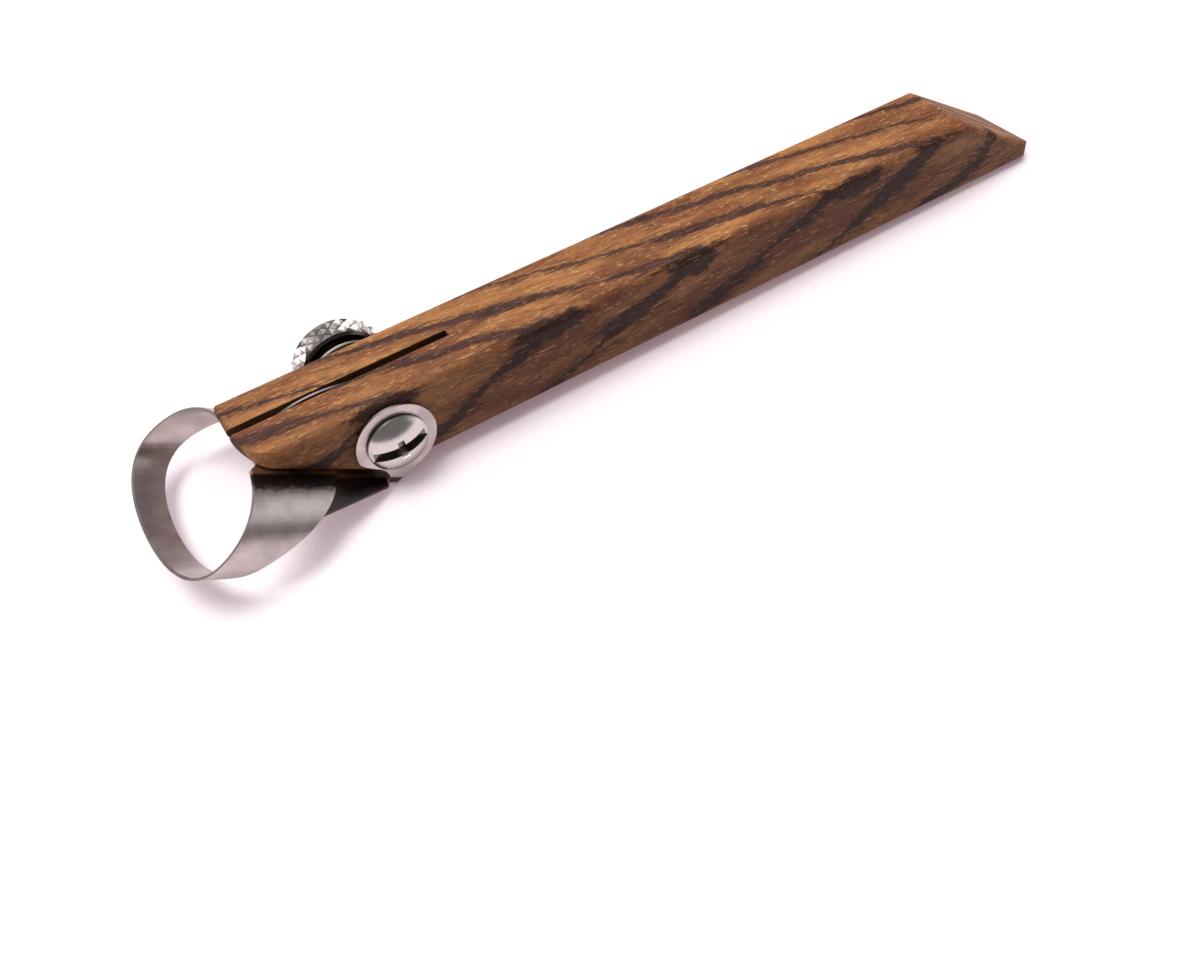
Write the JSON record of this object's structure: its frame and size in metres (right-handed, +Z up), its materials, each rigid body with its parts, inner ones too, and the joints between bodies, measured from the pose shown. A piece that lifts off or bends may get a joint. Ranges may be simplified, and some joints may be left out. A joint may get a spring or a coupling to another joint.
{
  "type": "handheld clay extruder",
  "caption": "Wooden bar handle whose sawn, faceted nose clamps an open steel ribbon loop with a screw and a knurled thumb nut, for drawing strands from clay.",
  "frame": {"origin": "under the middle of the resting tool's box, on the surface it lies on", "axes": "+X along the handle from the ribbon loop to the tail, +Y towards the thumb nut, +Z up as the tool lies on a table"},
  "size_m": [0.2062, 0.0412, 0.0201],
  "materials": {
    "wood": "oiled, satin",
    "ribbon": "brushed",
    "screw": "polished",
    "washer": "satin",
    "nut": "bright, knurled"
  },
  "bodies": {
    "handle": {"handle": "wood"},
    "ribbon_blade": {"ribbon_blade": "ribbon"},
    "clamp_screw": {"clamp_screw": "screw"},
    "washer": {"washer": "washer"},
    "thumb_nut": {"thumb_nut": "nut"}
  },
  "joints": [
    {"name": "blade_swing", "type": "hinge", "parent": "handle", "child": "ribbon_blade", "pos_m": [-0.05761, -0.00058, 0.01015], "axis": [0.0003, -0.9994, 0.0355], "range_deg": [0, 50]},
    {"name": "screw_spin", "type": "hinge", "parent": "handle", "child": "clamp_screw", "pos_m": [-0.05761, -0.00058, 0.01015], "axis": [-0.0003, 0.9994, -0.0355], "continuous": true},
    {"name": "washer_slide", "type": "slide", "parent": "handle", "child": "washer", "axis": [-0.0003, 0.9994, -0.0355], "range_m": [0, 0.00476]},
    {"name": "nut_spin", "type": "hinge", "parent": "washer", "child": "thumb_nut", "pos_m": [-0.05761, 0.01341, 0.00966], "axis": [-0.0003, 0.9994, -0.0355], "range_deg": [0, 2160]}
  ],
  "couplings": [
    {"joint": "nut_spin", "follows": "washer_slide", "rad_per_m": 7915.8}
  ]
}
